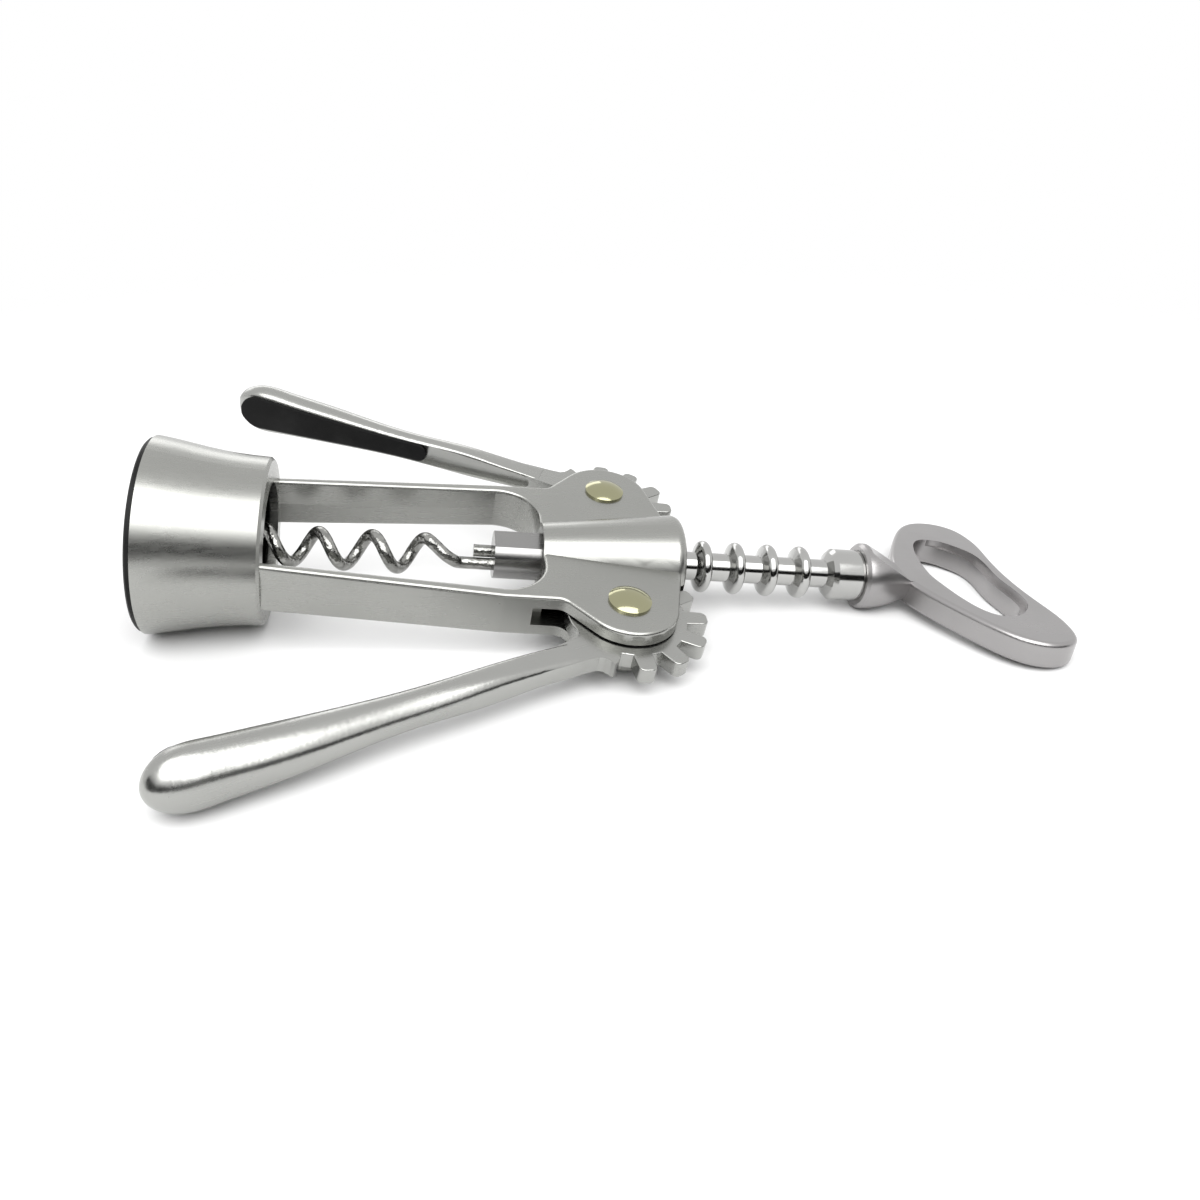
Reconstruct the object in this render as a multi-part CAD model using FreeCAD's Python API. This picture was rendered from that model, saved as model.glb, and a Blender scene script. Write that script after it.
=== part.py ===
import FreeCAD, Part
import math
import os

from FreeCAD import Vector

# Wing corkscrew, lying on its bell rim, one lever and its handle.
# Every piece is shaped in the tool's own axes: X runs up the shaft from the bell's mouth,
# Y runs across the levers and Z is the normal of the head's front plate.
# The last step turns all pieces together into the lying pose. Millimetres.

# Lying pose
ROLL = 11.4
PITCH = 5.234

# Bell
BELL_RIM_X = 1.3
BELL_TOP_X = 25.5
BELL_MOUTH_R = 20.9
BELL_UPPER_FLARE_R = 20.2
BELL_LOWER_FLARE_X = 5.8
BELL_WAIST_X = 14.0
BELL_WAIST_R = 18.7
BELL_SHOULDER_X = 22.4
BELL_SHOULDER_R = 17.85
BELL_TOP_R = 17.75
BELL_TOP_EDGE = 0.6
BELL_TOP_THICKNESS = 2.4
BELL_HOLE_R = 12.5
BELL_SEAT_R = 17.9
BELL_SEAT_END_X = 8.0
BELL_BORE_R = 16.2
BELL_BORE_TOP_R = 15.4

# Mouth liner
LINER_RIM_R = 20.4
LINER_BORE_R = 16.4
LINER_RIM_EDGE = 0.4

# Rails between bell and head
RAIL_SINK = 1.2
RAIL_IN_BELL_Y = 14.3
RAIL_OUT_BELL_Y = 16.2
RAIL_IN_HEAD_Y = 17.3
RAIL_OUT_HEAD_Y = 19.8
RAIL_BELL_HALF_DEPTH = 5.7
RAIL_DRAFT = 0.25

# Head
HEAD_HALF_DEPTH = 5.0
HEAD_WINDOW_X = 82.5
ARCH_R = 9.0
PIVOT_X = 98.2
PIVOT_Y = 19.4
LOBE_R = 9.8
NECK_START_X = 85.3
NECK_FILLET_R = 3.0
HEAD_END_X = 110.6
HEAD_END_HALF_WIDTH = 8.7
HEAD_EDGE = 0.85
SLOT_HALF_DEPTH = 2.15
SLOT_TIP_GAP = 0.6
SLOT_POCKET_X = 79.4
SLOT_POCKET_SINK = 1.6

# Boss round the spindle bore
BOSS_WINDOW_R = 7.4
BOSS_END_R = 10.6
BOSS_END_X = 111.9
BOSS_EDGE = 2.0
BORE_GAP = 0.08
BORE_MOUTH = 0.8

# Rack
RACK_RING_R = 5.6
RACK_CORE_R = 3.05
RACK_PITCH = 7.03
RACK_RINGS = 8
RACK_TIP_HALF = 1.05
RACK_TIP_RISE = 0.7
RACK_FLANK = 20.0
RACK_START_X = 84.1
COLLAR_START_X = 144.0
COLLAR_END_X = 151.1
COLLAR_R = 5.5
COLLAR_EDGE = 0.8

# Rod through the rack
ROD_R = 1.8
ROD_GAP = 0.05
ROD_START_X = 78.6
ROD_END_X = 158.0

# Gear sectors and levers
GEAR_TEETH_ROUND = 13
GEAR_TEETH_CUT = 8
GEAR_ROOT_R = 12.0
GEAR_TIP_R = 16.1
GEAR_TIP_HALF = 1.7
GEAR_ROOT_HALF = 2.0
GEAR_TIP_ROUND = 1.2
GEAR_EDGE = 0.3
GEAR_HALF_THICKNESS = 1.75
GEAR_FIRST_TOOTH = 96.9
GEAR_MESH_TOOTH = 6
NEAR_ARM_ANGLE = 24.8
FAR_ARM_ANGLE = 19.5
ARM_ROOT = 16.0
ARM_ROUND_FROM = 46.0
ARM_INNER_FACE = 4.85
ARM_ROOT_FACE = 3.5
ARM_WAIST_HALF_WIDTH = 3.3
ARM_WAIST_DEPTH = 5.6
GRIP_HALF_WIDTH = 6.0
GRIP_DEPTH = 8.9
GRIP_START = 88.6
GRIP_TIP = 96.7
TIP_LIFT = 0.42

# Web between gear and arm: corners as (distance towards the grip, distance outwards)
WEB_OUTLINE = [
    (24.0, 4.5),
    (17.4, 3.3),
    (12.2, 2.5),
    (10.2, -5.5),
    (0.0, 0.0),
    (7.2, 9.3),
    (9.4, 11.3),
    (10.1, 11.6),
    (10.4, 10.7),
    (11.1, 9.5),
    (11.9, 8.95),
    (14.0, 8.8),
    (30.0, 9.05),
    (30.0, 5.45),
]

# Groove along the lever's inner face, and the pad in it
GROOVE_START = 18.0
GROOVE_END = 94.6
GROOVE_SHARE = 0.76
GROOVE_HOLLOW = 0.25
GROOVE_TIP = 5.0
PAD_START = 44.4
PAD_ROUND = 2.4
PAD_GAP = 0.04
PAD_SIDE = 0.15
PAD_PROUD = 0.3
PAD_BEVEL = 0.5

# Rivets
RIVET_R = 2.2
RIVET_GAP = 0.06
RIVET_HEAD_R = 4.25
RIVET_RIM = 0.45
RIVET_DOME = 1.3
RIVET_TAIL_R = 3.5
RIVET_TAIL = 0.8

# Worm holder
HOLDER_START_X = 72.6
HOLDER_END_X = 83.9
HOLDER_R = 5.05
HOLDER_FLAT_Z = 4.15

# Worm
WIRE_R = 1.3
WORM_R = 3.3
WORM_PITCH = 11.3
WORM_CREST_X = 35.5
WORM_CREST_TURN = 53.9
WORM_TIP_X = 14.0
WORM_TAPER = 6.0
WORM_HELIX_END_X = 58.9
WORM_SHANK_X = 66.5
WORM_FOLD_X = 75.5
WORM_TAIL_X = 68.4
SHANK_OFF_Y = -1.25
SHANK_OFF_Z = -1.7
TAIL_OFF_Y = 0.35
TAIL_OFF_Z = 0.5
WORM_TIP_R = 0.25
WORM_OFF_Y = -0.45
WORM_OFF_Z = -0.6

# Handle
HANDLE_START_X = 151.2
CONE_R = 7.0
CONE_EDGE = 0.6
CONE_SHOULDER_X = 155.2
CONE_SHOULDER_R = 6.75
CONE_WAIST_X = 158.7
CONE_WAIST_R = 5.7
NECK_X = 166.0
NECK_R = 4.2
RING_HALF_THICKNESS = 2.8
RING_DROP = 1.2
FLAT_START_X = 152.7
FLAT_START_Z = 6.6
FLAT_END_X = 161.2
RING_TURN = -ROLL
RING_EDGE = 1.0
LIP_WIDTH = 1.1
LIP_DEPTH = 1.5

# The rings stand where the tooth nearest the shaft meets the middle of a gap
GEAR_STEP = 360.0 / GEAR_TEETH_ROUND
TEETH_TO_SHAFT = (270.0 - GEAR_FIRST_TOOTH) / GEAR_STEP - GEAR_MESH_TOOTH
RACK_FIRST_X = PIVOT_X + RACK_PITCH * (TEETH_TO_SHAFT - 1.5)

# How far a cutting tool runs past what it cuts
PAST = 1.0

AXIS_X = Vector(1, 0, 0)
AXIS_Y = Vector(0, 1, 0)
AXIS_Z = Vector(0, 0, 1)
ORIGIN = Vector(0, 0, 0)


def revolved(points):
    """Solid of revolution about the shaft from (x, radius) corners."""
    corners = [Vector(x, 0, r) for x, r in points]
    wire = Part.makePolygon(corners + [corners[0]])
    return Part.Face(wire).revolve(ORIGIN, AXIS_X, 360)


def prism(points, z_low, z_high):
    """Upright prism over (x, y) corners."""
    corners = [Vector(x, y, z_low) for x, y in points]
    wire = Part.makePolygon(corners + [corners[0]])
    return Part.Face(wire).extrude(Vector(0, 0, z_high - z_low))


def shaft_cylinder(radius, x_start, x_end):
    return Part.makeCylinder(radius, x_end - x_start, Vector(x_start, 0, 0), AXIS_X)


def mirrored(shape):
    return shape.mirror(ORIGIN, AXIS_Y)


def bell():
    outer = Part.BSplineCurve()
    outer.interpolate([
        Vector(BELL_RIM_X, 0, BELL_MOUTH_R),
        Vector(BELL_LOWER_FLARE_X, 0, BELL_UPPER_FLARE_R),
        Vector(BELL_WAIST_X, 0, BELL_WAIST_R),
        Vector(BELL_SHOULDER_X, 0, BELL_SHOULDER_R),
        Vector(BELL_TOP_X - BELL_TOP_EDGE, 0, BELL_TOP_R),
    ])
    under_top = BELL_TOP_X - BELL_TOP_THICKNESS
    rest = [
        (BELL_TOP_X - BELL_TOP_EDGE, BELL_TOP_R),
        (BELL_TOP_X, BELL_TOP_R - BELL_TOP_EDGE),
        (BELL_TOP_X, BELL_HOLE_R),
        (under_top, BELL_HOLE_R),
        (under_top, BELL_BORE_TOP_R),
        (BELL_SEAT_END_X, BELL_BORE_R),
        (BELL_SEAT_END_X, BELL_SEAT_R),
        (BELL_RIM_X, BELL_SEAT_R),
        (BELL_RIM_X, BELL_MOUTH_R),
    ]
    corners = [Vector(x, 0, r) for x, r in rest]
    edges = [outer.toShape()]
    for first, second in zip(corners, corners[1:]):
        edges.append(Part.LineSegment(first, second).toShape())
    return Part.Face(Part.Wire(edges)).revolve(ORIGIN, AXIS_X, 360)


def rail_section(x, y_in, y_out, half_depth):
    """Strap section with round corners, its inner face widest at the parting line."""
    straight = half_depth - HEAD_EDGE
    cut = HEAD_EDGE * (1 - math.cos(math.pi / 4))

    def corner(y, side, inward):
        """Ends and middle of one round corner, from the strap's side to its face."""
        return [
            Vector(x, y, side * straight),
            Vector(x, y + inward * cut, side * (half_depth - cut)),
            Vector(x, y + inward * HEAD_EDGE, side * half_depth),
        ]

    front_in = corner(y_in, 1, 1)
    front_out = corner(y_out, 1, -1)
    back_out = corner(y_out, -1, -1)
    back_in = corner(y_in, -1, 1)
    parting = Vector(x, y_in - RAIL_DRAFT, 0)
    edges = [
        Part.LineSegment(parting, front_in[0]),
        Part.Arc(*front_in),
        Part.LineSegment(front_in[2], front_out[2]),
        Part.Arc(*reversed(front_out)),
        Part.LineSegment(front_out[0], back_out[0]),
        Part.Arc(*back_out),
        Part.LineSegment(back_out[2], back_in[2]),
        Part.Arc(*reversed(back_in)),
        Part.LineSegment(back_in[0], parting),
    ]
    return Part.Wire([edge.toShape() for edge in edges])


def rail():
    start = rail_section(BELL_TOP_X - RAIL_SINK, RAIL_IN_BELL_Y, RAIL_OUT_BELL_Y, RAIL_BELL_HALF_DEPTH)
    end_x = HEAD_WINDOW_X - ARCH_R
    end = rail_section(end_x, RAIL_IN_HEAD_Y, RAIL_OUT_HEAD_Y, HEAD_HALF_DEPTH)
    return Part.makeLoft([start, end], True, True)


def head_outline():
    """Half of the head's outline on the far side, closed along the shaft."""
    pivot = Vector(PIVOT_X, PIVOT_Y, 0)
    neck_corner = Vector(NECK_START_X, RAIL_OUT_HEAD_Y, 0)
    to_pivot = pivot - neck_corner
    slope = math.asin(LOBE_R / to_pivot.Length) + math.atan2(to_pivot.y, to_pivot.x)
    neck_way = Vector(math.cos(slope), math.sin(slope), 0)
    straight = math.sqrt(to_pivot.Length ** 2 - LOBE_R ** 2)
    neck_end = neck_corner + neck_way * straight
    cut_back = NECK_FILLET_R * math.tan(slope / 2)
    fillet_start = neck_corner - AXIS_X * cut_back
    fillet_end = neck_corner + neck_way * cut_back
    fillet_middle = fillet_start + Vector(
        NECK_FILLET_R * math.sin(slope / 2), NECK_FILLET_R * (1 - math.cos(slope / 2)), 0
    )
    end_corner = Vector(HEAD_END_X, HEAD_END_HALF_WIDTH, 0)
    to_corner = end_corner - pivot
    distance = to_corner.Length
    bearing = math.atan2(to_corner.y, to_corner.x) + math.acos(LOBE_R / distance)
    lobe_end = Vector(PIVOT_X + LOBE_R * math.cos(bearing), PIVOT_Y + LOBE_R * math.sin(bearing), 0)
    lobe_top = Vector(PIVOT_X, PIVOT_Y + LOBE_R, 0)
    arch_centre_x = HEAD_WINDOW_X - ARCH_R
    arch_centre_y = RAIL_IN_HEAD_Y - ARCH_R
    arch_turn = math.pi / 4
    arch_middle = Vector(
        arch_centre_x + ARCH_R * math.cos(arch_turn),
        arch_centre_y + ARCH_R * math.sin(arch_turn),
        0,
    )
    edges = [
        Part.LineSegment(Vector(HEAD_WINDOW_X, 0, 0), Vector(HEAD_WINDOW_X, arch_centre_y, 0)).toShape(),
        Part.Arc(
            Vector(HEAD_WINDOW_X, arch_centre_y, 0), arch_middle, Vector(arch_centre_x, RAIL_IN_HEAD_Y, 0)
        ).toShape(),
        Part.LineSegment(
            Vector(arch_centre_x, RAIL_IN_HEAD_Y, 0), Vector(arch_centre_x, RAIL_OUT_HEAD_Y, 0)
        ).toShape(),
        Part.LineSegment(Vector(arch_centre_x, RAIL_OUT_HEAD_Y, 0), fillet_start).toShape(),
        Part.Arc(fillet_start, fillet_middle, fillet_end).toShape(),
        Part.LineSegment(fillet_end, neck_end).toShape(),
        Part.Arc(neck_end, lobe_top, lobe_end).toShape(),
        Part.LineSegment(lobe_end, end_corner).toShape(),
        Part.LineSegment(end_corner, Vector(HEAD_END_X, 0, 0)).toShape(),
        Part.LineSegment(Vector(HEAD_END_X, 0, 0), Vector(HEAD_WINDOW_X, 0, 0)).toShape(),
    ]
    return Part.Wire(edges)


def head_plates():
    half = Part.Face(head_outline()).extrude(Vector(0, 0, 2 * HEAD_HALF_DEPTH))
    half.translate(Vector(0, 0, -HEAD_HALF_DEPTH))
    plates = half.fuse(mirrored(half)).removeSplitter()
    rims = []
    for edge in plates.Edges:
        box = edge.BoundBox
        flat = box.ZLength < 0.01
        if flat and box.XMax > HEAD_WINDOW_X - ARCH_R + 0.1:
            rims.append(edge)
    return plates.makeFillet(HEAD_EDGE, rims)


def boss():
    taper = (BOSS_END_R - BOSS_WINDOW_R) / (HEAD_END_X - HEAD_WINDOW_X)
    edge_x = BOSS_END_X - BOSS_EDGE
    edge_r = BOSS_WINDOW_R + taper * (edge_x - HEAD_WINDOW_X)
    half_turn = math.pi / 4
    middle = Vector(
        edge_x + BOSS_EDGE * math.sin(half_turn),
        0,
        edge_r - BOSS_EDGE + BOSS_EDGE * math.cos(half_turn),
    )
    edges = [
        Part.LineSegment(Vector(HEAD_WINDOW_X, 0, 0), Vector(HEAD_WINDOW_X, 0, BOSS_WINDOW_R)).toShape(),
        Part.LineSegment(Vector(HEAD_WINDOW_X, 0, BOSS_WINDOW_R), Vector(edge_x, 0, edge_r)).toShape(),
        Part.Arc(Vector(edge_x, 0, edge_r), middle, Vector(BOSS_END_X, 0, edge_r - BOSS_EDGE)).toShape(),
        Part.LineSegment(Vector(BOSS_END_X, 0, edge_r - BOSS_EDGE), Vector(BOSS_END_X, 0, 0)).toShape(),
        Part.LineSegment(Vector(BOSS_END_X, 0, 0), Vector(HEAD_WINDOW_X, 0, 0)).toShape(),
    ]
    return Part.Face(Part.Wire(edges)).revolve(ORIGIN, AXIS_X, 360)


def slot_pocket(side):
    """Opening in the rail's outer face that lets the lever's web swing in."""
    low_y = RAIL_IN_HEAD_Y - SLOT_POCKET_SINK
    size_x = PIVOT_X - SLOT_POCKET_X
    corner = Vector(SLOT_POCKET_X, low_y, -SLOT_HALF_DEPTH)
    pocket = Part.makeBox(size_x, 2 * LOBE_R, 2 * SLOT_HALF_DEPTH, corner)
    if side < 0:
        pocket = mirrored(pocket)
    return pocket


def frame():
    body = bell().fuse([rail(), mirrored(rail()), head_plates(), boss()])
    slot_r = GEAR_TIP_R + SLOT_TIP_GAP
    bore_r = RACK_RING_R + BORE_GAP
    mouth = Part.makeCone(bore_r + BORE_MOUTH, bore_r, BORE_MOUTH, Vector(HEAD_WINDOW_X, 0, 0), AXIS_X)
    cuts = [shaft_cylinder(bore_r, HEAD_WINDOW_X - PAST, BOSS_END_X + PAST), mouth]
    for side in (-1, 1):
        centre = Vector(PIVOT_X, side * PIVOT_Y, -SLOT_HALF_DEPTH)
        cuts.append(Part.makeCylinder(slot_r, 2 * SLOT_HALF_DEPTH, centre, AXIS_Z))
        cuts.append(slot_pocket(side))
        centre = Vector(PIVOT_X, side * PIVOT_Y, -2 * HEAD_HALF_DEPTH)
        cuts.append(Part.makeCylinder(RIVET_R, 4 * HEAD_HALF_DEPTH, centre, AXIS_Z))
    return body.cut(cuts).removeSplitter()


def bell_liner():
    profile = [
        (0, LINER_BORE_R),
        (0, LINER_RIM_R - LINER_RIM_EDGE),
        (LINER_RIM_EDGE, LINER_RIM_R),
        (BELL_RIM_X, LINER_RIM_R),
        (BELL_RIM_X, BELL_SEAT_R),
        (BELL_SEAT_END_X, BELL_SEAT_R),
        (BELL_SEAT_END_X, LINER_BORE_R),
    ]
    return revolved(profile)


def smooth(value, table):
    """Value between table entries, joined by a smooth curve."""
    last = len(table) - 1
    index = 0
    while index < last - 1 and value > table[index + 1][0]:
        index += 1

    def slope(at):
        low = max(at - 1, 0)
        high = min(at + 1, last)
        return (table[high][1] - table[low][1]) / (table[high][0] - table[low][0])

    span = table[index + 1][0] - table[index][0]
    part = (value - table[index][0]) / span
    start = table[index][1] * (2 * part ** 3 - 3 * part ** 2 + 1)
    end = table[index + 1][1] * (3 * part ** 2 - 2 * part ** 3)
    lean = slope(index) * span * (part ** 3 - 2 * part ** 2 + part)
    catch = slope(index + 1) * span * (part ** 3 - part ** 2)
    return start + end + lean + catch


# Half width, depth and inner face of the arm at distances from the pivot
WIDTHS = [
    (16.0, 1.85),
    (25.0, 2.6),
    (35.0, ARM_WAIST_HALF_WIDTH),
    (54.0, ARM_WAIST_HALF_WIDTH + 0.2),
    (72.0, 4.7),
    (GRIP_START, GRIP_HALF_WIDTH),
]
DEPTHS = [
    (16.0, 5.35),
    (25.0, 5.45),
    (35.0, ARM_WAIST_DEPTH),
    (54.0, ARM_WAIST_DEPTH + 0.6),
    (72.0, 8.1),
    (GRIP_START, GRIP_DEPTH),
]
INNER_FACES = [
    (16.0, ARM_ROOT_FACE),
    (25.0, ARM_ROOT_FACE + 0.3),
    (38.0, ARM_INNER_FACE - 0.25),
    (54.0, ARM_INNER_FACE),
    (GRIP_START, ARM_INNER_FACE),
]


# Shares of a round end's length at which its sections stand, from the point inwards
END_ROUND = (0.97, 0.89, 0.75, 0.55, 0.3)

# Distances from the pivot at which the groove and the pad both have a section
GROOVE_PLACES = (24.0, 30.0, 37.0, PAD_START + PAD_ROUND, 52.0, 58.0, 64.0, 70.0, 76.0, 83.0)


# Half sections of the arm as shares of its (depth, half width): flat strap at the web,
# and rounded back further on
STRAP_SECTION = [
    (0.0, 0.0),
    (0.0, 0.5),
    (0.0, 0.75),
    (0.01, 0.9),
    (0.05, 0.97),
    (0.2, 1.0),
    (0.6, 1.0),
    (0.9, 0.95),
    (0.985, 0.7),
    (1.0, 0.0),
]
ROUND_SECTION = [
    (0.0, 0.0),
    (0.0, 0.4),
    (0.0, 0.66),
    (0.025, 0.79),
    (0.11, 0.905),
    (0.24, 0.98),
    (0.38, 1.0),
    (0.64, 0.85),
    (0.9, 0.53),
    (1.0, 0.0),
]


def arm_section(along, width, depth, base):
    """Closed section across the arm, changing from the strap to the rounded form."""
    rounded = min(1.0, (along - ARM_ROOT) / (ARM_ROUND_FROM - ARM_ROOT))
    shape = []
    for strap, full in zip(STRAP_SECTION, ROUND_SECTION):
        out = strap[0] + (full[0] - strap[0]) * rounded
        across_part = strap[1] + (full[1] - strap[1]) * rounded
        shape.append((out, across_part))
    half = [Vector(-along, base + depth * out, width * across_part) for out, across_part in shape]
    other = [Vector(point.x, point.y, -point.z) for point in reversed(half[1:-1])]
    curve = Part.BSplineCurve()
    curve.interpolate(half + other, True)
    return Part.Wire([curve.toShape()])


def arm():
    """Arm along -X from its pivot at the origin, with its back towards +Y."""
    wires = []
    for along in (ARM_ROOT, 20.0, 24.0, 29.0, 34.0, 39.0, 44.0, 54.0, 63.0, 72.0, 81.0, GRIP_START):
        base = smooth(along, INNER_FACES)
        wires.append(arm_section(along, smooth(along, WIDTHS), smooth(along, DEPTHS), base))
    length = GRIP_TIP - GRIP_START
    for part in reversed(END_ROUND):
        shrink = math.sqrt(1 - part ** 2)
        base = ARM_INNER_FACE + (1 - shrink) * TIP_LIFT * GRIP_DEPTH
        wires.append(
            arm_section(GRIP_START + length * part, GRIP_HALF_WIDTH * shrink, GRIP_DEPTH * shrink, base)
        )
    tip = Vector(-GRIP_TIP, ARM_INNER_FACE + TIP_LIFT * GRIP_DEPTH, 0)
    return Part.makeLoft(wires + [Part.Vertex(tip)], True, False)


def groove_section(along, half_width, depth, front):
    """Section across the groove: a hollow arc behind, closed by the given front corners."""
    low = Vector(-along, ARM_INNER_FACE, -half_width)
    floor = Vector(-along, ARM_INNER_FACE + depth, 0)
    high = Vector(-along, ARM_INNER_FACE, half_width)
    corners = [high] + [Vector(-along, ARM_INNER_FACE - out, z) for out, z in front] + [low]
    edges = [Part.Arc(low, floor, high).toShape()]
    for first, second in zip(corners, corners[1:]):
        edges.append(Part.LineSegment(first, second).toShape())
    return Part.Wire(edges)


def groove_stations(start, end, start_round, gap):
    """Places along the groove with how much of its width is open there."""
    straight = [along for along in GROOVE_PLACES if start + start_round < along < end - GROOVE_TIP]
    stations = []
    for part in END_ROUND:
        stations.append((start + gap + (start_round - gap) * (1 - part), math.sqrt(1 - part ** 2)))
    stations.append((start + start_round, 1.0))
    for along in straight:
        stations.append((along, 1.0))
    stations.append((end - GROOVE_TIP, 1.0))
    for part in reversed(END_ROUND):
        stations.append((end - GROOVE_TIP + (GROOVE_TIP - gap) * part, math.sqrt(1 - part ** 2)))
    return stations


def groove_half_width(along):
    return smooth(along, WIDTHS) * GROOVE_SHARE


def groove_depth(half_width):
    return GROOVE_HOLLOW * half_width


def groove_tool():
    """What the groove takes out of the lever, with its two ends rounded."""
    wires = []
    for along, share in groove_stations(GROOVE_START, GROOVE_END, PAD_ROUND, 0.0):
        full = groove_half_width(min(along, GROOVE_END - GROOVE_TIP))
        half_width = full * share
        front = [(2 * PAST, half_width), (2 * PAST, -half_width)]
        wires.append(groove_section(along, half_width, groove_depth(full) * share, front))
    return Part.makeLoft(wires, True, True)


def pad_blank():
    """Pad that fills the groove and stands a little proud of it."""
    wires = []
    for along, share in groove_stations(PAD_START, GROOVE_END, PAD_ROUND, PAD_GAP):
        full = groove_half_width(min(along, GROOVE_END - GROOVE_TIP))
        half_width = (full - PAD_SIDE) * share
        depth = (groove_depth(full) - PAD_GAP) * share
        bevel = PAD_BEVEL * share
        front = [(PAD_PROUD, half_width - bevel), (PAD_PROUD, bevel - half_width)]
        wires.append(groove_section(along, half_width, depth, front))
    return Part.makeLoft(wires, True, True)


def softened(plate):
    """Rounds the edges round both faces of a flat plate."""
    rims = [edge for edge in plate.Edges if edge.BoundBox.ZLength < 0.01]
    return plate.makeFillet(GEAR_EDGE, rims)


def gear_plate(arm_angle):
    """Toothed sector with the web that carries the arm, the arm lying along -X."""
    half = GEAR_HALF_THICKNESS
    plate = softened(Part.makeCylinder(GEAR_ROOT_R, 2 * half, Vector(0, 0, -half), AXIS_Z))
    web = prism([(-along, out) for along, out in WEB_OUTLINE], -half, half)
    teeth = []
    for count in range(GEAR_TEETH_CUT):
        tooth = prism(
            [
                (GEAR_ROOT_R - 1.0, -GEAR_ROOT_HALF),
                (GEAR_TIP_R, -GEAR_TIP_HALF),
                (GEAR_TIP_R, GEAR_TIP_HALF),
                (GEAR_ROOT_R - 1.0, GEAR_ROOT_HALF),
            ],
            -half,
            half,
        )
        tips = []
        for edge in tooth.Edges:
            box = edge.BoundBox
            if box.ZLength > half and box.XMin > GEAR_TIP_R - 0.1:
                tips.append(edge)
        tooth = softened(tooth.makeFillet(GEAR_TIP_ROUND, tips))
        bearing = 180.0 - (GEAR_FIRST_TOOTH + count * GEAR_STEP - arm_angle)
        tooth.rotate(ORIGIN, AXIS_Z, bearing)
        teeth.append(tooth)
    return plate.fuse([web] + teeth)


def lever_blank(arm_angle):
    body = gear_plate(arm_angle).fuse(arm())
    hole_r = RIVET_R + RIVET_GAP
    low = Vector(0, 0, -GEAR_HALF_THICKNESS - PAST)
    hole = Part.makeCylinder(hole_r, 2 * (GEAR_HALF_THICKNESS + PAST), low, AXIS_Z)
    return body.cut([groove_tool(), hole]).removeSplitter()


def placed_on_side(shape, side, arm_angle):
    """Carries a lever piece from its own pivot to the pivot on one side of the head."""
    piece = shape.copy()
    piece.rotate(ORIGIN, AXIS_Z, -arm_angle)
    piece.translate(Vector(PIVOT_X, PIVOT_Y, 0))
    if side < 0:
        piece = mirrored(piece)
    return piece


def rivet(side):
    centre = Vector(PIVOT_X, side * PIVOT_Y, -HEAD_HALF_DEPTH)
    shank = Part.makeCylinder(RIVET_R, 2 * HEAD_HALF_DEPTH, centre, AXIS_Z)
    base = Vector(PIVOT_X, side * PIVOT_Y, HEAD_HALF_DEPTH)
    rim = Part.makeCylinder(RIVET_HEAD_R, RIVET_RIM, base, AXIS_Z)
    ball_r = (RIVET_HEAD_R ** 2 + RIVET_DOME ** 2) / (2 * RIVET_DOME)
    ball = Part.makeSphere(ball_r, base + Vector(0, 0, RIVET_RIM + RIVET_DOME - ball_r))
    cap = Part.makeCylinder(RIVET_HEAD_R, RIVET_DOME, base + Vector(0, 0, RIVET_RIM), AXIS_Z).common(ball)
    tail = Part.makeCone(
        RIVET_TAIL_R - RIVET_TAIL, RIVET_TAIL_R, RIVET_TAIL, centre - Vector(0, 0, RIVET_TAIL), AXIS_Z
    )
    return shank.fuse([rim, cap, tail]).removeSplitter()


def rack_sleeve():
    """Sleeve with round-topped rings, and a collar that meets the handle."""
    tip_start_r = RACK_RING_R - RACK_TIP_RISE
    root_half = RACK_TIP_HALF + (tip_start_r - RACK_CORE_R) * math.tan(math.radians(RACK_FLANK))
    bore_r = ROD_R + ROD_GAP
    at = Vector(RACK_START_X, 0, bore_r)
    edges = []

    def line_to(x, r):
        nonlocal at
        corner = Vector(x, 0, r)
        edges.append(Part.LineSegment(at, corner).toShape())
        at = corner

    line_to(RACK_START_X, RACK_CORE_R)
    for count in range(RACK_RINGS):
        middle = RACK_FIRST_X + count * RACK_PITCH
        line_to(middle - root_half, RACK_CORE_R)
        line_to(middle - RACK_TIP_HALF, tip_start_r)
        crest = Vector(middle, 0, RACK_RING_R)
        far = Vector(middle + RACK_TIP_HALF, 0, tip_start_r)
        edges.append(Part.Arc(at, crest, far).toShape())
        at = far
        line_to(middle + root_half, RACK_CORE_R)
    line_to(COLLAR_START_X, RACK_CORE_R)
    line_to(COLLAR_START_X + COLLAR_EDGE, COLLAR_R - COLLAR_EDGE)
    line_to(COLLAR_START_X + 2 * COLLAR_EDGE, COLLAR_R)
    line_to(COLLAR_END_X, COLLAR_R)
    line_to(COLLAR_END_X, bore_r)
    line_to(RACK_START_X, bore_r)
    return Part.Face(Part.Wire(edges)).revolve(ORIGIN, AXIS_X, 360)


def spindle_rod():
    return shaft_cylinder(ROD_R, ROD_START_X, ROD_END_X)


def worm_point(x, radius, turn):
    angle = math.radians(turn)
    return Vector(x, WORM_OFF_Y + radius * math.cos(angle), WORM_OFF_Z + radius * math.sin(angle))


def helix_turn(x):
    """Angle about the shaft, from the far side towards the front, of the helix at x."""
    return WORM_CREST_TURN + 360.0 * (x - WORM_CREST_X) / WORM_PITCH


def wire_circle(point, tangent, radius):
    return Part.Wire([Part.Circle(point, tangent, radius).toShape()])


def helix_tangent(x):
    turn = math.radians(helix_turn(x))
    swing = 2 * math.pi * WORM_R / WORM_PITCH
    return Vector(1, -swing * math.sin(turn), swing * math.cos(turn))


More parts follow.
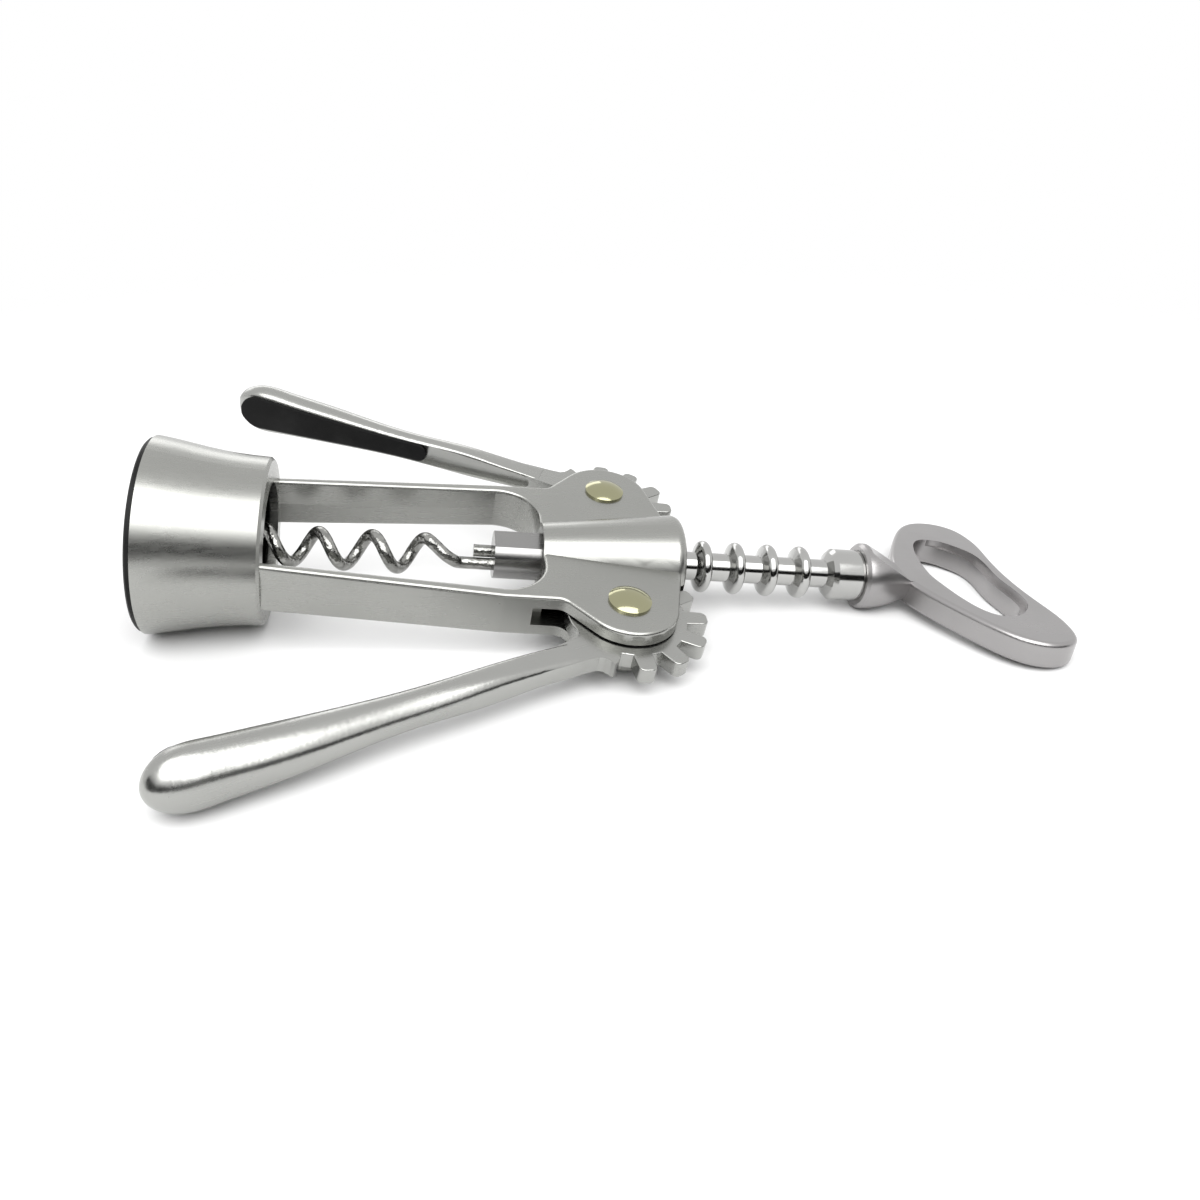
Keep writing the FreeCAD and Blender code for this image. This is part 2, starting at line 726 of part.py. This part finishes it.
def worm_coil(x_start, x_end):
    path = Part.makeHelix(WORM_PITCH, x_end - x_start, WORM_R)
    path.rotate(ORIGIN, AXIS_Y, 90)
    path.rotate(ORIGIN, AXIS_X, helix_turn(x_start) + 90)
    path.translate(Vector(x_start, WORM_OFF_Y, WORM_OFF_Z))
    wire = Part.Wire(path)
    edge = wire.Edges[0]
    first = edge.valueAt(edge.FirstParameter)
    section = wire_circle(first, edge.tangentAt(edge.FirstParameter), WIRE_R)
    return wire.makePipeShell([section], True, True)


def worm_tip(x_start, x_end):
    """Tapered start of the helix, ground to a point."""
    wires = []
    for part in (0.0, 0.08, 0.2, 0.34, 0.5, 0.67, 0.84, 1.0):
        x = x_start + (x_end - x_start) * part
        radius = WORM_TIP_R + (WIRE_R - WORM_TIP_R) * math.sin(part * math.pi / 2)
        wires.append(wire_circle(worm_point(x, WORM_R, helix_turn(x)), helix_tangent(x), radius))
    return Part.makeLoft(wires, True, False)


# Run-out of the helix: shares of its length, its turning and its drawing in
RUN_OUT = ((0.25, 0.2, 0.42), (0.5, 0.45, 0.68), (0.75, 0.75, 0.93))


def worm_run_out(x_start, x_end, shank):
    """Bend from the end of the helix into the straight shank."""
    start_turn = helix_turn(x_start)
    from_middle = Vector(0, shank.y - WORM_OFF_Y, shank.z - WORM_OFF_Z)
    shank_turn = math.degrees(math.atan2(from_middle.z, from_middle.y))
    while shank_turn < start_turn:
        shank_turn += 360
    shank_r = from_middle.Length
    points = [worm_point(x_start, WORM_R, start_turn)]
    for along, turned, drawn_in in RUN_OUT:
        turn = start_turn + (shank_turn - start_turn) * turned
        radius = WORM_R + (shank_r - WORM_R) * drawn_in
        points.append(worm_point(x_start + (x_end - x_start) * along, radius, turn))
    points.append(shank)
    curve = Part.BSplineCurve()
    curve.interpolate(Points=points, InitialTangent=helix_tangent(x_start), FinalTangent=Vector(3, 0, 0))
    wire = Part.Wire([curve.toShape()])
    section = wire_circle(points[0], helix_tangent(x_start), WIRE_R)
    return wire.makePipeShell([section], True, False)


def worm():
    tip_end = WORM_TIP_X + WORM_TAPER
    shank = Vector(WORM_SHANK_X, SHANK_OFF_Y, SHANK_OFF_Z)
    fold = Vector(WORM_FOLD_X, SHANK_OFF_Y, SHANK_OFF_Z)
    back = Vector(WORM_FOLD_X, TAIL_OFF_Y, TAIL_OFF_Z)
    spread = back - fold
    bend_axis = spread.cross(AXIS_X)
    half_circle = Part.Face(wire_circle(fold, AXIS_X, WIRE_R))
    bend = half_circle.revolve(fold + 0.5 * spread, bend_axis, -180)
    pieces = [
        worm_coil(tip_end, WORM_HELIX_END_X),
        worm_run_out(WORM_HELIX_END_X, WORM_SHANK_X, shank),
        Part.makeCylinder(WIRE_R, WORM_FOLD_X - WORM_SHANK_X, shank, AXIS_X),
        bend,
        Part.makeCylinder(WIRE_R, WORM_FOLD_X - WORM_TAIL_X, back, -AXIS_X),
    ]
    return worm_tip(WORM_TIP_X, tip_end).fuse(pieces)


def worm_holder(worm_shape):
    body = shaft_cylinder(HOLDER_R, HOLDER_START_X, HOLDER_END_X)
    corner = Vector(HOLDER_START_X - PAST, -HOLDER_R - PAST, HOLDER_FLAT_Z)
    length = HOLDER_END_X - HOLDER_START_X + 2 * PAST
    flat = Part.makeBox(length, 2 * (HOLDER_R + PAST), HOLDER_R, corner)
    return body.cut([flat, worm_shape, spindle_rod()])


def ring_outline(points, z):
    """Closed smooth outline in the ring's plane, symmetric about the shaft."""
    half = [Vector(x, y, z) for x, y in points]
    other = [Vector(x, -y, z) for x, y in reversed(points) if y > 0.01]
    curve = Part.BSplineCurve()
    curve.interpolate(half + other, True)
    return Part.Face(Part.Wire([curve.toShape()]))


# Ring outlines on one side of the shaft, as (x, y)
RING_OUTER = [
    (160.6, 0.0),
    (161.4, 5.5),
    (163.3, 10.5),
    (166.3, 16.5),
    (169.4, 22.0),
    (172.0, 25.6),
    (175.3, 28.2),
    (178.8, 29.0),
    (182.3, 28.2),
    (185.2, 25.6),
    (186.5, 21.5),
    (186.7, 16.5),
    (186.1, 11.5),
    (185.4, 5.5),
    (185.2, 0.0),
]
RING_HOLE = [
    (167.2, 0.0),
    (167.7, 5.0),
    (168.6, 9.5),
    (169.8, 13.5),
    (171.7, 16.8),
    (174.0, 18.2),
    (176.7, 17.6),
    (179.3, 15.3),
    (181.3, 12.3),
    (182.0, 8.5),
    (181.7, 4.0),
    (181.4, 0.0),
]


def cone_blank():
    """Flared end that meets the rack's collar, drawn in to the ring's neck."""
    curve = Part.BSplineCurve()
    curve.interpolate([
        Vector(HANDLE_START_X + CONE_EDGE, 0, CONE_R),
        Vector(CONE_SHOULDER_X, 0, CONE_SHOULDER_R),
        Vector(CONE_WAIST_X, 0, CONE_WAIST_R),
        Vector(NECK_X, 0, NECK_R),
    ])
    corners = [
        Vector(NECK_X, 0, NECK_R),
        Vector(NECK_X, 0, 0),
        Vector(HANDLE_START_X, 0, 0),
        Vector(HANDLE_START_X, 0, CONE_R - CONE_EDGE),
        Vector(HANDLE_START_X + CONE_EDGE, 0, CONE_R),
    ]
    edges = [curve.toShape()]
    for first, second in zip(corners, corners[1:]):
        edges.append(Part.LineSegment(first, second).toShape())
    return Part.Face(Part.Wire(edges)).revolve(ORIGIN, AXIS_X, 360)


def handle():
    top = RING_HALF_THICKNESS - RING_DROP
    bottom = -RING_HALF_THICKNESS - RING_DROP
    plate = ring_outline(RING_OUTER, bottom).extrude(Vector(0, 0, top - bottom))
    edges = [edge for edge in plate.Edges if edge.BoundBox.ZLength < 0.01]
    plate = plate.makeFillet(RING_EDGE, edges)
    cone = cone_blank()
    cone = cone.cut([neck_flat(FLAT_START_Z, top), neck_flat(-FLAT_START_Z, bottom)])
    body = plate.fuse(cone)
    hole = ring_outline(RING_HOLE, 3 * bottom).extrude(Vector(0, 0, -6 * bottom))
    recess = ring_outline(RING_HOLE, top - LIP_DEPTH).extrude(Vector(0, 0, 3 * CONE_R))
    recess.translate(Vector(LIP_WIDTH, 0, 0))
    body = body.cut([hole, recess, spindle_rod()])
    body.rotate(ORIGIN, AXIS_X, RING_TURN)
    return body


def neck_flat(start_z, end_z):
    """What a sloping flat takes off the cone, from its collar down to the ring's face."""
    far_z = 3 * start_z
    points = [
        (FLAT_START_X, start_z),
        (FLAT_END_X, end_z),
        (NECK_X + PAST, end_z),
        (NECK_X + PAST, far_z),
        (FLAT_START_X, far_z),
    ]
    corners = [Vector(x, -2 * CONE_R, z) for x, z in points]
    wire = Part.makePolygon(corners + [corners[0]])
    return Part.Face(wire).extrude(Vector(0, 4 * CONE_R, 0))


def lying(shape):
    piece = shape.copy()
    piece.rotate(ORIGIN, AXIS_X, ROLL)
    piece.rotate(ORIGIN, AXIS_Y, PITCH)
    return piece


def build():
    worm_shape = worm()
    near_lever = placed_on_side(lever_blank(NEAR_ARM_ANGLE), -1, NEAR_ARM_ANGLE)
    far_lever = placed_on_side(lever_blank(FAR_ARM_ANGLE), 1, FAR_ARM_ANGLE)
    near_pad = placed_on_side(pad_blank(), -1, NEAR_ARM_ANGLE)
    far_pad = placed_on_side(pad_blank(), 1, FAR_ARM_ANGLE)
    return {
        "frame": frame(),
        "bell_liner": bell_liner(),
        "near_lever": near_lever,
        "far_lever": far_lever,
        "near_pad": near_pad,
        "far_pad": far_pad,
        "near_rivet": rivet(-1),
        "far_rivet": rivet(1),
        "rack_sleeve": rack_sleeve(),
        "spindle_rod": spindle_rod(),
        "worm_holder": worm_holder(worm_shape),
        "worm": worm_shape,
        "handle": handle(),
    }


os.makedirs("parts", exist_ok=True)
for name, shape in build().items():
    placed = lying(shape)
    if not placed.isValid() or len(placed.Solids) != 1:
        raise ValueError(name + " is not one closed solid")
    placed.exportStep("parts/" + name + ".step")
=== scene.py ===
import math

import bpy
from mathutils import Matrix, Vector


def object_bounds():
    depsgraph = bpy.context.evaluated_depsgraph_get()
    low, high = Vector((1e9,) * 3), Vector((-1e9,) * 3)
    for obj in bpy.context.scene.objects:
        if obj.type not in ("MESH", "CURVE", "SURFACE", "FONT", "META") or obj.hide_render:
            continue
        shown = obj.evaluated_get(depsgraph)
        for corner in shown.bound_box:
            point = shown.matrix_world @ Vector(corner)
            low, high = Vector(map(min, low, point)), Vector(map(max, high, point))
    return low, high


# Looks of a wing corkscrew lying on white. Metres, same frame as the CAD part.

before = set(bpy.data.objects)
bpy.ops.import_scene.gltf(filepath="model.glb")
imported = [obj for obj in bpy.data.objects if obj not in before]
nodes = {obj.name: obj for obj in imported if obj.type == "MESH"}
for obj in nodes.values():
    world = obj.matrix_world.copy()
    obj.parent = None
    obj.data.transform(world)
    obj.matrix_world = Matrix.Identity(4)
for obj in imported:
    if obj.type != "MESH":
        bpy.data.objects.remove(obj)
cad_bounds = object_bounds()
part_middle = 0.5 * (Vector(cad_bounds[0]) + Vector(cad_bounds[1]))

# Camera solved from the photograph: place, turn and view
CAMERA_AT = Vector((0.059874, -0.195297, 0.087303))
CAMERA_RIGHT = Vector((0.999698, -0.014699, -0.019703))
CAMERA_UP = Vector((0.024049, 0.418778, 0.907770))
CAMERA_FORWARD = Vector((0.005092, 0.907970, -0.419005))
SENSOR_WIDTH = 36.0
LENS = 30.542
VIEW_SHIFT_X = 0.1339
VIEW_SHIFT_Y = -0.0506

# Colours, linear
NICKEL = (0.360, 0.362, 0.344)
NICKEL_LEVER = (0.390, 0.392, 0.376)
NICKEL_HANDLE = (0.372, 0.362, 0.361)
NICKEL_BRIGHT = (0.470, 0.470, 0.458)
NICKEL_BLOCK = (0.31, 0.307, 0.302)
WIRE_STEEL = (0.34, 0.34, 0.325)
ROD_STEEL = (0.42, 0.42, 0.42)
RIVET_BRASS = (0.37, 0.36, 0.23)
# Near-black painted shade for the inside of the bell, not a colour of the metal
BELL_INSIDE_SHADE = (0.020, 0.020, 0.019)
PIT_GREY = (0.10, 0.10, 0.095)
DUST_GREY = (0.16, 0.16, 0.15)
BLACK_PLASTIC = (0.008, 0.008, 0.008)
BLACK_RUBBER = (0.006, 0.006, 0.006)
TABLE_WHITE = (0.80, 0.80, 0.80)
CARD_BLACK = (0.010, 0.010, 0.010)

# Space inside the bell, which is painted near-black as painted shade: droop of the shaft, radius
# and depth from the mouth
SHAFT_DROOP = 5.234
BELL_INSIDE_R = 0.0170
BELL_INSIDE_DEPTH = 0.0235
INSIDE_EDGE = 0.0004

# Texture scales, in features per metre
PLAIN = (1.0, 1.0, 1.0)
LINE_STRETCH = (0.04, 1.0, 1.0)
CLOUD_SCALE = 60.0
GRAIN_SCALE = 2600.0
LINE_SCALE = 1500.0
PIT_SCALE = 150.0
PIT_PATCH_SCALE = 35.0
WIRE_LUMP_SCALE = 700.0
WIRE_GRAIN_SCALE = 3000.0
SKIN_SCALE = 3200.0
SKIN_CLOUD_SCALE = 90.0
DUST_SCALE = 190.0
DUST_PATCH_SCALE = 55.0
TABLE_GRAIN_SCALE = 220.0

# Bump heights
GRAIN_HEIGHT = 0.00004
LINE_HEIGHT = 0.00003
WIRE_LUMP_HEIGHT = 0.0004
WIRE_GRAIN_HEIGHT = 0.0001
SKIN_HEIGHT = 0.00015

# Levels of a texture between which an effect comes in
SPECK_EDGE = (0.03, 0.06)
PIT_PATCHES = (0.58, 0.66)
DUST_PATCHES = (0.6, 0.68)
WIRE_DARK_LEVELS = (0.42, 0.7)
SKIN_CLOUD_LEVELS = (0.45, 0.8)

# Bearings of the levers' polishing lines, in degrees
NEAR_LEVER_TURN = 24.8
FAR_LEVER_TURN = -19.5

# Table: half its side, and distances from its middle over which it fades into the surround
TABLE_HALF = 1.2
TABLE_FADE_START = 0.17
TABLE_FADE_END = 0.42

# Black studio card, seen only in reflections: bearings and heights in degrees, distance
FRONT_CARD = ((-168.0, -12.0), (-6.0, 21.0), 1.4)
CARD_COLUMNS = 24
CARD_ROWS = 8

# Softboxes: place, aim, size and power
FRONT_SOFTBOX = (Vector((0.05, -0.34, 0.50)), Vector((0.09, 0.0, 0.0)), (0.85, 0.52), 4.6)
BACK_SOFTBOX = (Vector((-0.14, 0.75, 0.33)), Vector((0.03, 0.0, 0.02)), (0.75, 0.26), 0.95)


def node(tree, kind, **values):
    made = tree.nodes.new(kind)
    for key, value in values.items():
        setattr(made, key, value)
    return made


def coordinates(tree, stretch, turn=0.0):
    coords = node(tree, "ShaderNodeTexCoord")
    mapping = node(tree, "ShaderNodeMapping", vector_type="TEXTURE")
    mapping.inputs["Rotation"].default_value = (0.0, 0.0, math.radians(turn))
    mapping.inputs["Scale"].default_value = tuple(1.0 / part for part in stretch)
    tree.links.new(coords.outputs["Object"], mapping.inputs["Vector"])
    return mapping.outputs["Vector"]


def noise(tree, vector, scale, detail=3.0, roughness=0.5):
    made = node(tree, "ShaderNodeTexNoise")
    made.inputs["Scale"].default_value = scale
    made.inputs["Detail"].default_value = detail
    made.inputs["Roughness"].default_value = roughness
    tree.links.new(vector, made.inputs["Vector"])
    return made.outputs["Fac"]


def remap(tree, value, low, high, from_low=0.3, from_high=0.7):
    made = node(tree, "ShaderNodeMapRange")
    made.inputs["From Min"].default_value = from_low
    made.inputs["From Max"].default_value = from_high
    made.inputs["To Min"].default_value = low
    made.inputs["To Max"].default_value = high
    tree.links.new(value, made.inputs["Value"])
    return made.outputs["Result"]


def blended(tree, factor, first, second):
    made = node(tree, "ShaderNodeMix", data_type="RGBA")
    made.inputs["A"].default_value = (*first, 1.0)
    made.inputs["B"].default_value = (*second, 1.0)
    tree.links.new(factor, made.inputs["Factor"])
    return made.outputs["Result"]


def combined(tree, operation, first, second):
    made = node(tree, "ShaderNodeMath", operation=operation)
    tree.links.new(first, made.inputs[0])
    tree.links.new(second, made.inputs[1])
    return made.outputs["Value"]


def laid_over(tree, factor, below, colour):
    """A colour laid over another where the factor is 1."""
    made = node(tree, "ShaderNodeMix", data_type="RGBA")
    made.inputs["B"].default_value = (*colour, 1.0)
    tree.links.new(factor, made.inputs["Factor"])
    tree.links.new(below, made.inputs["A"])
    return made.outputs["Result"]


def specks(tree, vector, scale, patch_scale, patch_levels, amount):
    """Small round marks that come in patches."""
    cells = node(tree, "ShaderNodeTexVoronoi")
    cells.inputs["Scale"].default_value = scale
    tree.links.new(vector, cells.inputs["Vector"])
    spot = remap(tree, cells.outputs["Distance"], 1.0, 0.0, *SPECK_EDGE)
    patches = remap(tree, noise(tree, vector, patch_scale, 2.0), 0.0, amount, *patch_levels)
    return combined(tree, "MULTIPLY", spot, patches)


def bump(tree, height, strength, distance, below=None):
    made = node(tree, "ShaderNodeBump")
    made.inputs["Strength"].default_value = strength
    made.inputs["Distance"].default_value = distance
    tree.links.new(height, made.inputs["Height"])
    if below is not None:
        tree.links.new(below, made.inputs["Normal"])
    return made.outputs["Normal"]


def painted_shade_mask_inside_bell(tree):
    """Mask for the painted shade: 1 within the bell's bore, 0 on its outside."""
    coords = node(tree, "ShaderNodeTexCoord")
    along = node(tree, "ShaderNodeMapping", vector_type="TEXTURE")
    along.inputs["Rotation"].default_value = (0.0, math.radians(SHAFT_DROOP), 0.0)
    tree.links.new(coords.outputs["Object"], along.inputs["Vector"])
    parts = node(tree, "ShaderNodeSeparateXYZ")
    tree.links.new(along.outputs["Vector"], parts.inputs["Vector"])
    across = node(tree, "ShaderNodeCombineXYZ")
    tree.links.new(parts.outputs["Y"], across.inputs["Y"])
    tree.links.new(parts.outputs["Z"], across.inputs["Z"])
    radius = node(tree, "ShaderNodeVectorMath", operation="LENGTH")
    tree.links.new(across.outputs["Vector"], radius.inputs[0])
    near_axis = remap(
        tree, radius.outputs["Value"], 1.0, 0.0, BELL_INSIDE_R, BELL_INSIDE_R + INSIDE_EDGE
    )
    in_depth = remap(
        tree, parts.outputs["X"], 1.0, 0.0, BELL_INSIDE_DEPTH, BELL_INSIDE_DEPTH + INSIDE_EDGE
    )
    return combined(tree, "MULTIPLY", near_axis, in_depth)


def fresh(name):
    made = bpy.data.materials.new(name)
    made.use_nodes = True
    tree = made.node_tree
    shader = tree.nodes["Principled BSDF"]
    return made, tree, shader


def metal(name, colour, rough, grain=0.10, brush=0.0, pits=0.0, turn=0.0, bell=False):
    """Plated casting: cloudy tone, fine grain, faint polishing lines and small dark pits; with
    bell set, painted shade inside the bell.
    """
    made, tree, shader = fresh(name)
    shader.inputs["Metallic"].default_value = 1.0
    plain = coordinates(tree, PLAIN)
    cloud = noise(tree, plain, CLOUD_SCALE, 4.0)
    fine = noise(tree, plain, GRAIN_SCALE, 2.0)
    lines = noise(tree, coordinates(tree, LINE_STRETCH, turn), LINE_SCALE, 3.0)
    dull = tuple(part * 0.93 for part in colour)
    tone = blended(tree, remap(tree, cloud, 0.0, 1.0), colour, dull)
    if pits > 0.0:
        marks = specks(tree, plain, PIT_SCALE, PIT_PATCH_SCALE, PIT_PATCHES, pits)
        tone = laid_over(tree, marks, tone, PIT_GREY)
    # Inside of the bell painted near-black: painted shade
    if bell:
        tone = laid_over(tree, painted_shade_mask_inside_bell(tree), tone, BELL_INSIDE_SHADE)
    tree.links.new(tone, shader.inputs["Base Color"])
    cloudy = remap(tree, cloud, rough - 0.03, rough + 0.03)
    lined = remap(tree, lines, -0.02, 0.03)
    tree.links.new(combined(tree, "ADD", cloudy, lined), shader.inputs["Roughness"])
    normal = bump(tree, fine, grain, GRAIN_HEIGHT)
    if brush > 0.0:
        normal = bump(tree, lines, brush, LINE_HEIGHT, normal)
    tree.links.new(normal, shader.inputs["Normal"])
    return made


def hammered(name, colour, rough):
    """Bright wire with the uneven skin left by bending and plating."""
    made, tree, shader = fresh(name)
    shader.inputs["Metallic"].default_value = 1.0
    plain = coordinates(tree, PLAIN)
    lumps = noise(tree, plain, WIRE_LUMP_SCALE, 3.0)
    fine = noise(tree, plain, WIRE_GRAIN_SCALE, 2.0)
    dark = tuple(part * 0.6 for part in colour)
    tone = blended(tree, remap(tree, lumps, 0.0, 1.0, *WIRE_DARK_LEVELS), colour, dark)
    tree.links.new(tone, shader.inputs["Base Color"])
    tree.links.new(remap(tree, fine, rough - 0.04, rough + 0.07), shader.inputs["Roughness"])
    normal = bump(tree, lumps, 0.7, WIRE_LUMP_HEIGHT)
    normal = bump(tree, fine, 0.2, WIRE_GRAIN_HEIGHT, normal)
    tree.links.new(normal, shader.inputs["Normal"])
    return made


def soft_black(name, colour, rough, dust):
    """Moulded plastic or rubber: fine matt skin, faint dust."""
    made, tree, shader = fresh(name)
    plain = coordinates(tree, PLAIN)
    skin = noise(tree, plain, SKIN_SCALE, 3.0)
    cloud = noise(tree, plain, SKIN_CLOUD_SCALE, 3.0)
    dusty = tuple(part * 2.2 + 0.004 for part in colour)
    tone = blended(tree, remap(tree, cloud, 0.0, 1.0, *SKIN_CLOUD_LEVELS), colour, dusty)
    marks = specks(tree, plain, DUST_SCALE, DUST_PATCH_SCALE, DUST_PATCHES, dust)
    tree.links.new(laid_over(tree, marks, tone, DUST_GREY), shader.inputs["Base Color"])
    shader.inputs["Specular IOR Level"].default_value = 0.14
    tree.links.new(remap(tree, skin, rough - 0.06, rough + 0.08), shader.inputs["Roughness"])
    tree.links.new(bump(tree, skin, 0.3, SKIN_HEIGHT), shader.inputs["Normal"])
    return made


def dress(name, material):
    piece = nodes[name]
    piece.data.materials.clear()
    piece.data.materials.append(material)


rivet_metal = metal("polished_rivet", RIVET_BRASS, 0.11, grain=0.08, brush=0.22)
pad_black = soft_black("rubber_pad", BLACK_RUBBER, 0.58, 0.9)

# The frame's bell gets painted shade inside it
dress("frame", metal("satin_frame", NICKEL, 0.27, brush=0.05, pits=0.8, bell=True))
for side, turn in (("near", NEAR_LEVER_TURN), ("far", FAR_LEVER_TURN)):
    lever_metal = metal(f"satin_{side}_lever", NICKEL_LEVER, 0.25, brush=0.08, pits=0.7, turn=turn)
    dress(f"{side}_lever", lever_metal)
    dress(f"{side}_rivet", rivet_metal)
    dress(f"{side}_pad", pad_black)
dress("handle", metal("satin_handle", NICKEL_HANDLE, 0.30, brush=0.05, pits=0.3))
dress("rack_sleeve", metal("bright_rack", NICKEL_BRIGHT, 0.13, grain=0.05))
dress("worm_holder", metal("satin_block", NICKEL_BLOCK, 0.24, brush=0.08))
dress("spindle_rod", metal("drawn_rod", ROD_STEEL, 0.25, brush=0.15))
dress("worm", hammered("plated_wire", WIRE_STEEL, 0.14))
dress("bell_liner", soft_black("matt_liner", BLACK_PLASTIC, 0.46, 0.3))


def table(level):
    """White table that fades into the white surround."""
    mesh = bpy.data.meshes.new("table")
    signs = ((-1, -1), (1, -1), (1, 1), (-1, 1))
    corners = [(TABLE_HALF * x, TABLE_HALF * y, 0.0) for x, y in signs]
    mesh.from_pydata(corners, [], [(0, 1, 2, 3)])
    plane = bpy.data.objects.new("table", mesh)
    plane.location = (part_middle.x, part_middle.y, level)
    bpy.context.scene.collection.objects.link(plane)
    made, tree, shader = fresh("white_table")
    shader.inputs["Roughness"].default_value = 0.85
    shader.inputs["Specular IOR Level"].default_value = 0.1
    plain = coordinates(tree, PLAIN)
    grain = noise(tree, plain, TABLE_GRAIN_SCALE, 3.0)
    off_white = tuple(part * 0.99 for part in TABLE_WHITE)
    tree.links.new(blended(tree, grain, TABLE_WHITE, off_white), shader.inputs["Base Color"])
    length = node(tree, "ShaderNodeVectorMath", operation="LENGTH")
    tree.links.new(plain, length.inputs[0])
    fade = remap(tree, length.outputs["Value"], 0.0, 1.0, TABLE_FADE_START, TABLE_FADE_END)
    clear = node(tree, "ShaderNodeBsdfTransparent")
    mix = node(tree, "ShaderNodeMixShader")
    tree.links.new(fade, mix.inputs["Fac"])
    tree.links.new(shader.outputs["BSDF"], mix.inputs[1])
    tree.links.new(clear.outputs["BSDF"], mix.inputs[2])
    tree.links.new(mix.outputs["Shader"], tree.nodes["Material Output"].inputs["Surface"])
    mesh.materials.append(made)


def card(name, colour, bearings, heights, distance):
    """Curved studio card round the object, which the metal mirrors and the camera can't see."""
    points = []
    for row in range(CARD_ROWS + 1):
        height = math.radians(heights[0] + (heights[1] - heights[0]) * row / CARD_ROWS)
        for column in range(CARD_COLUMNS + 1):
            share = column / CARD_COLUMNS
            bearing = math.radians(bearings[0] + (bearings[1] - bearings[0]) * share)
            points.append((
                distance * math.cos(height) * math.cos(bearing),
                distance * math.cos(height) * math.sin(bearing),
                distance * math.sin(height),
            ))
    faces = []
    for row in range(CARD_ROWS):
        for column in range(CARD_COLUMNS):
            first = row * (CARD_COLUMNS + 1) + column
            above = first + CARD_COLUMNS + 1
            faces.append((first, first + 1, above + 1, above))
    mesh = bpy.data.meshes.new(name)
    mesh.from_pydata(points, [], faces)
    sheet = bpy.data.objects.new(name, mesh)
    sheet.location = part_middle
    sheet.visible_camera = False
    bpy.context.scene.collection.objects.link(sheet)
    made, tree, shader = fresh(name)
    shader.inputs["Roughness"].default_value = 1.0
    shader.inputs["Specular IOR Level"].default_value = 0.0
    shader.inputs["Base Color"].default_value = (*colour, 1.0)
    mesh.materials.append(made)


def surround():
    """Plain white room."""
    world = bpy.data.worlds.new("white_room")
    world.use_nodes = True
    tree = world.node_tree
    tree.nodes.clear()
    white = node(tree, "ShaderNodeBackground")
    white.inputs["Color"].default_value = (1.0, 1.0, 1.0, 1.0)
    output = node(tree, "ShaderNodeOutputWorld")
    tree.links.new(white.outputs["Background"], output.inputs["Surface"])
    bpy.context.scene.world = world


def softbox(name, place, target, size, watts):
    """Rectangular studio lamp turned to its target."""
    light = bpy.data.lights.new(name, "AREA")
    light.shape = "RECTANGLE"
    light.size = size[0]
    light.size_y = size[1]
    light.energy = watts
    lamp = bpy.data.objects.new(name, light)
    lamp.location = place
    aim = target - place
    lamp.rotation_euler = aim.to_track_quat("-Z", "Y").to_euler()
    bpy.context.scene.collection.objects.link(lamp)


def camera():
    """The photograph's camera."""
    data = bpy.data.cameras.new("photo_camera")
    data.sensor_fit = "HORIZONTAL"
    data.sensor_width = SENSOR_WIDTH
    data.lens = LENS
    data.shift_x = VIEW_SHIFT_X
    data.shift_y = VIEW_SHIFT_Y
    data.clip_start = 0.005
    data.clip_end = 20.0
    made = bpy.data.objects.new("photo_camera", data)
    turn = Matrix((CAMERA_RIGHT, CAMERA_UP, -CAMERA_FORWARD)).transposed()
    made.matrix_world = Matrix.Translation(CAMERA_AT) @ turn.to_4x4()
    bpy.context.scene.collection.objects.link(made)
    bpy.context.scene.camera = made


table(cad_bounds[0][2])
card("front_card", CARD_BLACK, *FRONT_CARD)
surround()
softbox("front_softbox", *FRONT_SOFTBOX)
softbox("back_softbox", *BACK_SOFTBOX)
camera()
bpy.context.scene.view_settings.view_transform = "Standard"
